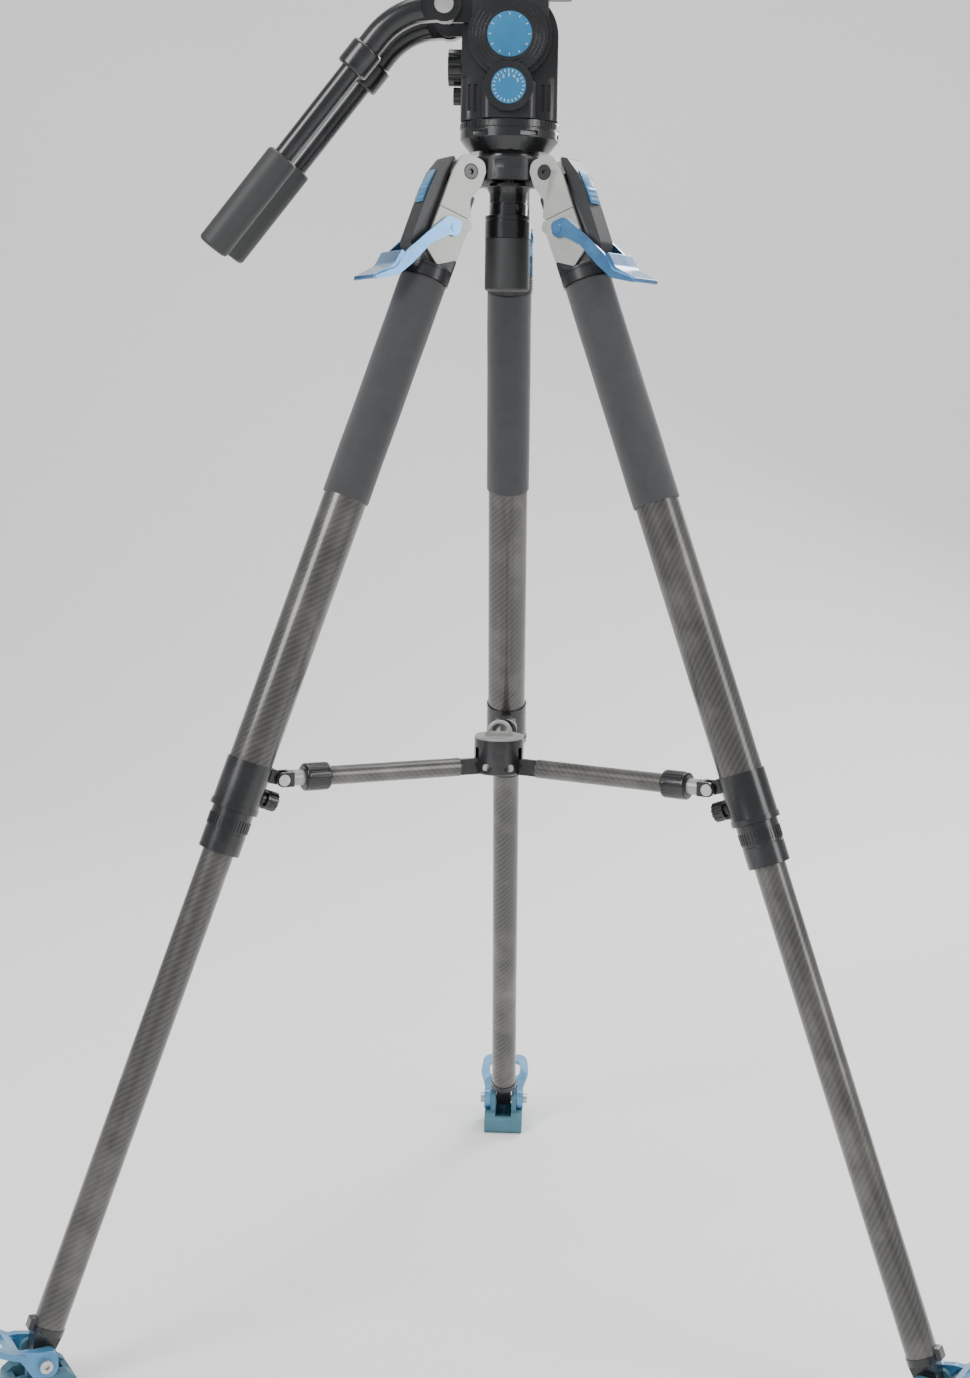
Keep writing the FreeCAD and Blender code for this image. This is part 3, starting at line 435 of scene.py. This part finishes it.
# graduations on the two drag dials
dialMarks = {"ticks": 24, "tickLong": 0.0022, "tickWide": 0.0006, "tickTall": 0.0003,
             "panRadius": 0.0140, "tiltRadius": 0.0187, "panHeight": 1.215, "tiltHeight": 1.264, "sunk": 0.0002,
             "figureRadius": 0.0098, "figureTall": 0.0045, "figureFrom": 150, "figureStep": 30, "figures": 5}
panDialAt = Vector((0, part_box("pan_drag_dial")[0][1] + dialMarks["sunk"], dialMarks["panHeight"]))
grow("pan_dial_marks", barsOnRing, {"Count": dialMarks["ticks"], "Radius": dialMarks["panRadius"],
     "Long": dialMarks["tickLong"], "Wide": dialMarks["tickWide"], "Tall": dialMarks["tickTall"],
     "Finish": markWhite}, panDialAt, Vector((0, -1, 0)), "pan_drag")
tiltDialAt = Vector((0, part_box("tilt_drag_dial")[0][1], dialMarks["tiltHeight"]))
grow("tilt_dial_marks", barsOnRing, {"Count": dialMarks["ticks"] // 2, "Radius": dialMarks["tiltRadius"],
     "Long": dialMarks["tickLong"], "Wide": dialMarks["tickWide"], "Tall": dialMarks["tickTall"],
     "Finish": markWhite}, tiltDialAt, Vector((0, -1, 0)), "tilt_drag")


def figure(name, text, size, at, up, facing, finish, body):
    # a raised numeral, made a mesh and laid flat on a face
    curve = bpy.data.curves.new(name, "FONT")
    curve.body, curve.size, curve.extrude = text, size, 0.00015
    curve.align_x, curve.align_y = "CENTER", "CENTER"
    holder = bpy.data.objects.new(name, curve)
    bpy.context.scene.collection.objects.link(holder)
    graph = bpy.context.evaluated_depsgraph_get()
    data = bpy.data.meshes.new_from_object(holder.evaluated_get(graph), depsgraph=graph)
    bpy.data.objects.remove(holder)
    across = up.cross(facing).normalized()
    turn = Matrix((across, up.normalized(), facing.normalized())).transposed().to_4x4()
    data.transform(Matrix.Translation(at) @ turn)
    data.materials.clear()
    data.materials.append(finish)
    piece = bpy.data.objects.new(name, data)
    bpy.context.scene.collection.objects.link(piece)
    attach(piece, body)


for number in range(dialMarks["figures"]):
    a = math.radians(dialMarks["figureFrom"] - dialMarks["figureStep"] * number)
    spot = panDialAt + Vector((math.cos(a), 0, math.sin(a))) * dialMarks["figureRadius"]
    figure(f"pan_dial_figure_{number}", str(number + 1), dialMarks["figureTall"], spot, Vector((0, 0, 1)),
           Vector((0, -1, 0)), markWhite, "pan_drag")

# raised grip bars round the turntable ring and the legs' middle collars
ringBars = {"Count": 60, "Radius": 0.0480, "Long": 0.0008, "Wide": 0.0022, "Tall": 0.0045, "Finish": black}
collarBars = {"Count": 36, "Radius": 0.0200, "Long": 0.0010, "Wide": 0.0016, "Tall": 0.0110, "Finish": black}
barPlace = {"ringHeight": 1.1832, "collarDown": 0.6595}
grow("turntable_ring_bars", barsOnRing, ringBars, Vector((0, 0, barPlace["ringHeight"])), Vector((0, 0, 1)),
     "head_base")
for leg, degrees in legs.items():
    out, side, down, hinge = legFrame(degrees)
    grow(f"leg_{leg}_collar_bars", barsOnRing, collarBars, hinge + down * barPlace["collarDown"], down,
         f"middle_{leg}")
print("repeated details grown")


# ---- foam grips: a soft sleeve with rolled ends and a slightly uneven skin

foamShape = {"from": 0.1110, "to": 0.3335, "inner": 0.0214, "outer": 0.0229, "roll": 0.0014, "rings": 70,
             "round": 64, "uneven": 0.00025}
for leg, degrees in legs.items():
    out, side, down, hinge = legFrame(degrees)
    s = foamShape
    profile = [(s["inner"], s["from"] + s["roll"])]
    for i in range(7):
        a = i * math.pi / 12
        profile.append((s["outer"] - s["roll"] * (1 - math.sin(a)), s["from"] + s["roll"] * (1 - math.cos(a))))
    for i in range(1, s["rings"]):
        straight = s["to"] - s["from"] - 2 * s["roll"]
        profile.append((s["outer"], s["from"] + s["roll"] + straight * i / s["rings"]))
    for i in range(7):
        a = math.pi / 2 - i * math.pi / 12
        profile.append((s["outer"] - s["roll"] * (1 - math.sin(a)), s["to"] - s["roll"] * (1 - math.cos(a))))
    profile.append((s["inner"], s["to"] - s["roll"]))
    mesh = bmesh.new()
    rows = []
    for radius, length in profile:
        row = []
        for i in range(s["round"]):
            a = 2 * math.pi * i / s["round"]
            wave = math.sin(3 * a + 40 * length) + math.sin(5 * a - 73 * length + degrees)
            r = radius - (s["uneven"] * (0.5 + 0.25 * wave) if radius > s["inner"] + 0.0005 else 0)
            row.append(mesh.verts.new(hinge + down * length + (out * math.cos(a) + side * math.sin(a)) * r))
        rows.append(row)
    for k in range(len(rows)):
        first, second = rows[k], rows[(k + 1) % len(rows)]
        for i in range(s["round"]):
            j = (i + 1) % s["round"]
            mesh.faces.new((first[i], first[j], second[j], second[i]))
    bmesh.ops.recalc_face_normals(mesh, faces=mesh.faces)
    data = bpy.data.meshes.new(f"leg_{leg}_foam")
    mesh.to_mesh(data)
    mesh.free()
    data.materials.append(foam)
    data.shade_smooth()
    piece = bpy.data.objects.new(f"leg_{leg}_foam", data)
    bpy.context.scene.collection.objects.link(piece)
    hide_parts(f"leg_{leg}_foam_grip")
    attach(piece, f"leg_{leg}")
print("foam grips made")


# ---- floor, light, camera

room = {"floor": 12.0, "back": 2.2, "bend": 1.8, "bendSteps": 24, "tall": 9.0, "drop": 0.0005,
        "floorColour": (0.90, 0.90, 0.89), "world": 0.62}
data = bpy.data.meshes.new("floor")
sweep = [(-room["floor"], 0.0), (room["back"], 0.0)]
for i in range(1, room["bendSteps"] + 1):
    a = i * math.pi / 2 / room["bendSteps"]
    sweep.append((room["back"] + room["bend"] * math.sin(a), room["bend"] * (1 - math.cos(a))))
sweep.append((room["back"] + room["bend"], room["tall"]))
points = [(x, y, z - room["drop"]) for y, z in sweep for x in (-room["floor"], room["floor"])]
data.from_pydata(points, [], [(2 * i, 2 * i + 1, 2 * i + 3, 2 * i + 2) for i in range(len(sweep) - 1)])
data.shade_smooth()
paper = Finish("palePaper")
data.materials.append(paper.shade({"Base Color": paper.mix(paper.noise(1.2, 2.0), room["floorColour"],
                                   (0.92, 0.92, 0.91)), "Roughness": 0.85}))
floor = bpy.data.objects.new("floor", data)
bpy.context.scene.collection.objects.link(floor)

world = bpy.data.worlds.new("studio")
bpy.context.scene.world = world
world.use_nodes = True
world.node_tree.nodes["Background"].inputs["Color"].default_value = (0.97, 0.98, 1.0, 1.0)
world.node_tree.nodes["Background"].inputs["Strength"].default_value = room["world"]


def softbox(name, at, target, width, height, power):
    light = bpy.data.lights.new(name, "AREA")
    light.shape, light.size, light.size_y, light.energy = "RECTANGLE", width, height, power
    box = bpy.data.objects.new(name, light)
    bpy.context.scene.collection.objects.link(box)
    box.location = at
    box.rotation_euler = (Vector(target) - Vector(at)).to_track_quat("-Z", "Y").to_euler()


softbox("keyLight", (-2.2, -2.4, 2.6), (0, 0, 0.8), 1.4, 1.8, 95)
softbox("fillLight", (2.8, -1.6, 1.8), (0, 0, 0.8), 1.2, 2.0, 45)
softbox("topLight", (0.2, 0.4, 3.4), (0, 0, 1.0), 2.2, 2.2, 60)
softbox("rimLight", (1.4, 2.6, 2.2), (0, 0, 0.9), 1.0, 1.8, 60)

# a 51.6 mm lens two metres away at chest height, tipped a little down
cameraSet = {"lens": 51.6, "shiftY": -0.0486, "place": (-0.008, -1.963, 0.921), "pitch": 6.43, "yaw": -0.24,
             "roll": 0.92, "round": 1.87}
camera = bpy.data.cameras.new("camera")
camera.sensor_width = 36.0
camera.lens, camera.shift_y = cameraSet["lens"], cameraSet["shiftY"]
pitch, yaw, roll = (math.radians(cameraSet[k]) for k in ("pitch", "yaw", "roll"))
ahead = Vector((math.sin(yaw) * math.cos(pitch), math.cos(yaw) * math.cos(pitch), -math.sin(pitch)))
right = Vector((math.cos(yaw), -math.sin(yaw), 0))
up = right.cross(ahead)
right, up = right * math.cos(roll) + up * math.sin(roll), up * math.cos(roll) - right * math.sin(roll)
pose = Matrix((right, up, -ahead)).transposed().to_4x4()
pose.translation = Vector(cameraSet["place"])
cameraObject = bpy.data.objects.new("camera", camera)
bpy.context.scene.collection.objects.link(cameraObject)
cameraObject.matrix_world = Matrix.Rotation(math.radians(cameraSet["round"]), 4, "Z") @ pose
bpy.context.scene.camera = cameraObject
bpy.context.scene.view_settings.view_transform = "AgX"
print("floor, lights and camera set")
